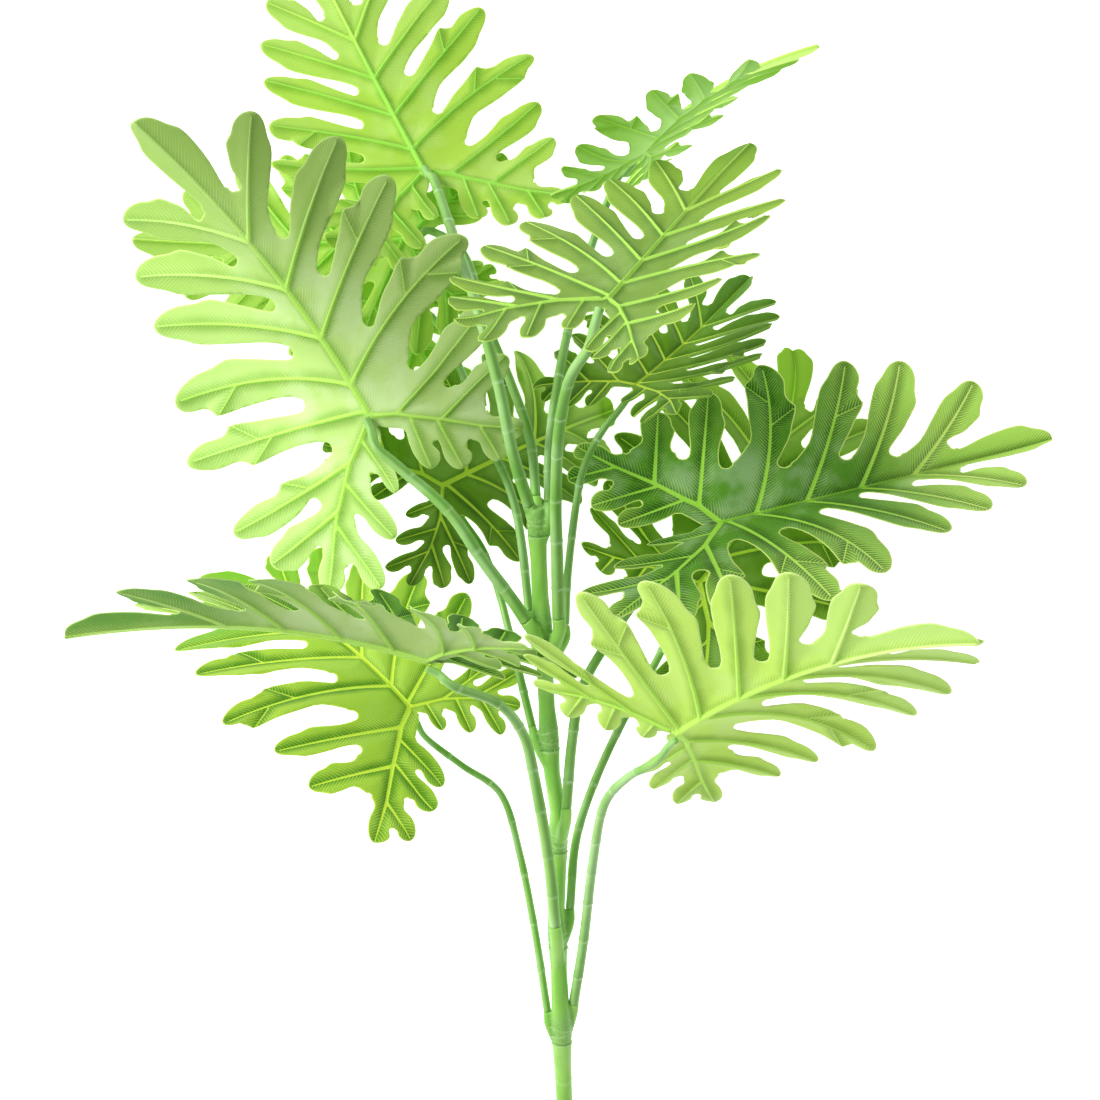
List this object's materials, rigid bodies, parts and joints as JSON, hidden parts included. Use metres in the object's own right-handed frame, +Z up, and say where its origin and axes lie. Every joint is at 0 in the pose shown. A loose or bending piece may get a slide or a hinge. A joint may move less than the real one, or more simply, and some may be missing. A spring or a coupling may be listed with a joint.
{
  "type": "philodendron leaf spray",
  "caption": "Cut artificial philodendron stem lying on a table, with deeply split leaves on slim petioles that branch from a jointed central stem.",
  "frame": {"origin": "middle of the spray's box, on the table it lies on", "axes": "+Y from the cut end of the stem towards the top leaf, +X to the right of the picture, +Z up from the table"},
  "size_m": [0.708, 0.9274, 0.4186],
  "materials": {
    "leaf_lime": "satin",
    "leaf_pale": "satin",
    "leaf_green": "satin",
    "leaf_dark": "satin",
    "petiole": "satin",
    "stem": "satin"
  },
  "bodies": {
    "root": {"leaf_left_back": "leaf_lime", "leaf_left_deep": "leaf_lime", "leaf_left_edge": "leaf_pale", "leaf_left_hidden": "leaf_dark", "leaf_left_large": "leaf_pale", "leaf_left_low": "leaf_green", "leaf_right_back": "leaf_green", "leaf_right_dark": "leaf_dark", "leaf_right_high": "leaf_pale", "leaf_right_large": "leaf_dark", "leaf_right_low": "leaf_pale", "leaf_top": "leaf_lime", "leaf_top_right": "leaf_lime", "petiole_left_back": "petiole", "petiole_left_deep": "petiole", "petiole_left_edge": "petiole", "petiole_left_hidden": "petiole", "petiole_left_large": "petiole", "petiole_left_low": "petiole", "petiole_right_back": "petiole", "petiole_right_dark": "petiole", "petiole_right_high": "petiole", "petiole_right_large": "petiole", "petiole_right_low": "petiole", "petiole_top": "petiole", "petiole_top_right": "petiole", "stem": "stem"}
  },
  "joints": []
}
